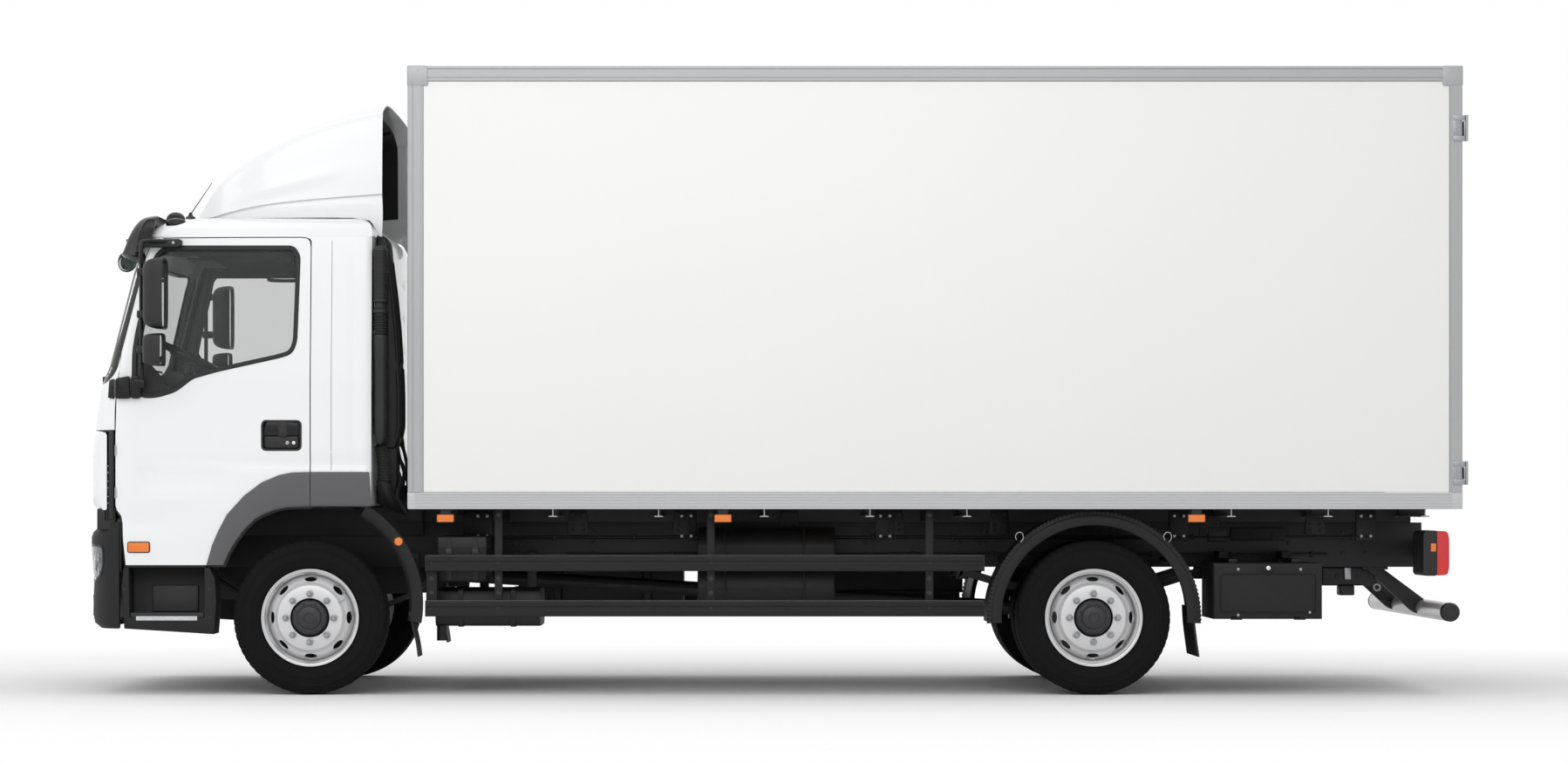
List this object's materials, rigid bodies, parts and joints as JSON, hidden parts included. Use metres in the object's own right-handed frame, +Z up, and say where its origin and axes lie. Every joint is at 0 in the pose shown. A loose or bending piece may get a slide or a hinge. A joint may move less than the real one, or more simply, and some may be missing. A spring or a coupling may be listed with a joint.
{
  "type": "rigid box truck",
  "caption": "Forward-control rigid truck with a day cab, roof deflector and aluminium-edged dry-freight box body, for carrying goods by road.",
  "frame": {"origin": "bottom centre of the whole vehicle's box, on the ground between the axles", "axes": "+X to the rear along the vehicle, +Y to the passenger's (right-hand) side, +Z up; the nose points to -X"},
  "size_m": [7.882, 2.88, 3.569],
  "materials": {
    "white_paint": "gloss white cab paint",
    "box_panel": "satin white laminated panel",
    "aluminium": "satin anodised extrusion",
    "dark_plastic": "grained dark grey moulding",
    "chassis_black": "satin black chassis paint",
    "rubber": "matt rubber",
    "wheel_silver": "silver wheel lacquer",
    "glass": "clear tinted glass",
    "headlamp": "clear lamp lens",
    "red_lens": "red lamp lens on a black bar",
    "seat_cloth": "woven dark grey cloth"
  },
  "bodies": {
    "chassis": {"chassis_frame": "chassis_black", "driveline": "chassis_black", "front_axle": "chassis_black", "rear_axle": "chassis_black", "silencer": "chassis_black", "air_tanks": "chassis_black", "underrun_bar": "wheel_silver", "fuel_tank": "aluminium", "box_floor": "aluminium", "box_roof": "aluminium", "rear_frame": "aluminium", "battery_box": "dark_plastic", "side_guard_left": "dark_plastic", "side_guard_right": "dark_plastic", "toolbox": "dark_plastic", "front_mudguard_left": "dark_plastic", "front_mudguard_right": "dark_plastic", "rear_mudguard_left": "dark_plastic", "rear_mudguard_right": "dark_plastic", "step_left": "dark_plastic", "step_right": "dark_plastic", "front_bumper": "dark_plastic", "dashboard": "dark_plastic", "steering_wheel": "dark_plastic", "sun_visor": "dark_plastic", "intake_duct": "dark_plastic", "tail_lamps": "red_lens", "headlamp_left": "headlamp", "headlamp_right": "headlamp", "cab_shell": "white_paint", "roof_deflector": "white_paint", "windscreen": "glass", "seat_left": "seat_cloth", "seat_right": "seat_cloth", "box_front_wall": "box_panel", "box_side_left": "box_panel", "box_side_right": "box_panel"},
    "knuckle_left": {"knuckle_left": "chassis_black"},
    "knuckle_right": {"knuckle_right": "chassis_black"},
    "wheel_front_left": {"tyre_front_left": "rubber", "rim_front_left": "wheel_silver"},
    "wheel_front_right": {"tyre_front_right": "rubber", "rim_front_right": "wheel_silver"},
    "wheels_rear_left": {"tyre_rear_outer_left": "rubber", "tyre_rear_inner_left": "rubber", "rim_rear_left": "wheel_silver"},
    "wheels_rear_right": {"tyre_rear_outer_right": "rubber", "tyre_rear_inner_right": "rubber", "rim_rear_right": "wheel_silver"},
    "door_left": {"door_left": "white_paint", "door_glass_left": "glass", "mirror_left": "dark_plastic"},
    "door_right": {"door_right": "white_paint", "door_glass_right": "glass", "mirror_right": "dark_plastic"},
    "front_panel": {"front_panel": "white_paint"},
    "toolbox_lid": {"toolbox_lid": "dark_plastic"},
    "rear_door_left": {"rear_door_left": "box_panel"},
    "rear_door_right": {"rear_door_right": "box_panel"}
  },
  "joints": [
    {"name": "steer_left", "type": "hinge", "parent": "chassis", "child": "knuckle_left", "pos_m": [-2.625, -0.9, 0.439], "axis": [0, 0, 1], "range_deg": [-38, 38]},
    {"name": "steer_right", "type": "hinge", "parent": "chassis", "child": "knuckle_right", "pos_m": [-2.625, 0.9, 0.439], "axis": [0, 0, 1], "range_deg": [-38, 38]},
    {"name": "spin_front_left", "type": "hinge", "parent": "knuckle_left", "child": "wheel_front_left", "pos_m": [-2.625, -1.0275, 0.439], "axis": [0, 1, 0], "continuous": true},
    {"name": "spin_front_right", "type": "hinge", "parent": "knuckle_right", "child": "wheel_front_right", "pos_m": [-2.625, 1.0275, 0.439], "axis": [0, 1, 0], "continuous": true},
    {"name": "spin_rear_left", "type": "hinge", "parent": "chassis", "child": "wheels_rear_left", "pos_m": [1.835, -1.0375, 0.439], "axis": [0, 1, 0], "continuous": true},
    {"name": "spin_rear_right", "type": "hinge", "parent": "chassis", "child": "wheels_rear_right", "pos_m": [1.835, 1.0375, 0.439], "axis": [0, 1, 0], "continuous": true},
    {"name": "door_left_swing", "type": "hinge", "parent": "chassis", "child": "door_left", "pos_m": [-3.731, -1.15, 1.5], "axis": [0, 0, -1], "range_deg": [0, 70]},
    {"name": "door_right_swing", "type": "hinge", "parent": "chassis", "child": "door_right", "pos_m": [-3.731, 1.15, 1.5], "axis": [0, 0, 1], "range_deg": [0, 70]},
    {"name": "front_panel_lift", "type": "hinge", "parent": "chassis", "child": "front_panel", "pos_m": [-3.893, 0, 1.502], "axis": [0, 1, 0], "range_deg": [0, 70]},
    {"name": "toolbox_lid_drop", "type": "hinge", "parent": "chassis", "child": "toolbox_lid", "pos_m": [2.518, -1.15, 0.433], "axis": [1, 0, 0], "range_deg": [0, 90]},
    {"name": "rear_door_left_swing", "type": "hinge", "parent": "chassis", "child": "rear_door_left", "pos_m": [3.934, -1.262, 2.3], "axis": [0, 0, -1], "range_deg": [0, 270]},
    {"name": "rear_door_right_swing", "type": "hinge", "parent": "chassis", "child": "rear_door_right", "pos_m": [3.934, 1.262, 2.3], "axis": [0, 0, 1], "range_deg": [0, 270]}
  ],
  "couplings": [
    {"joint": "steer_right", "follows": "steer_left", "ratio": 1}
  ]
}
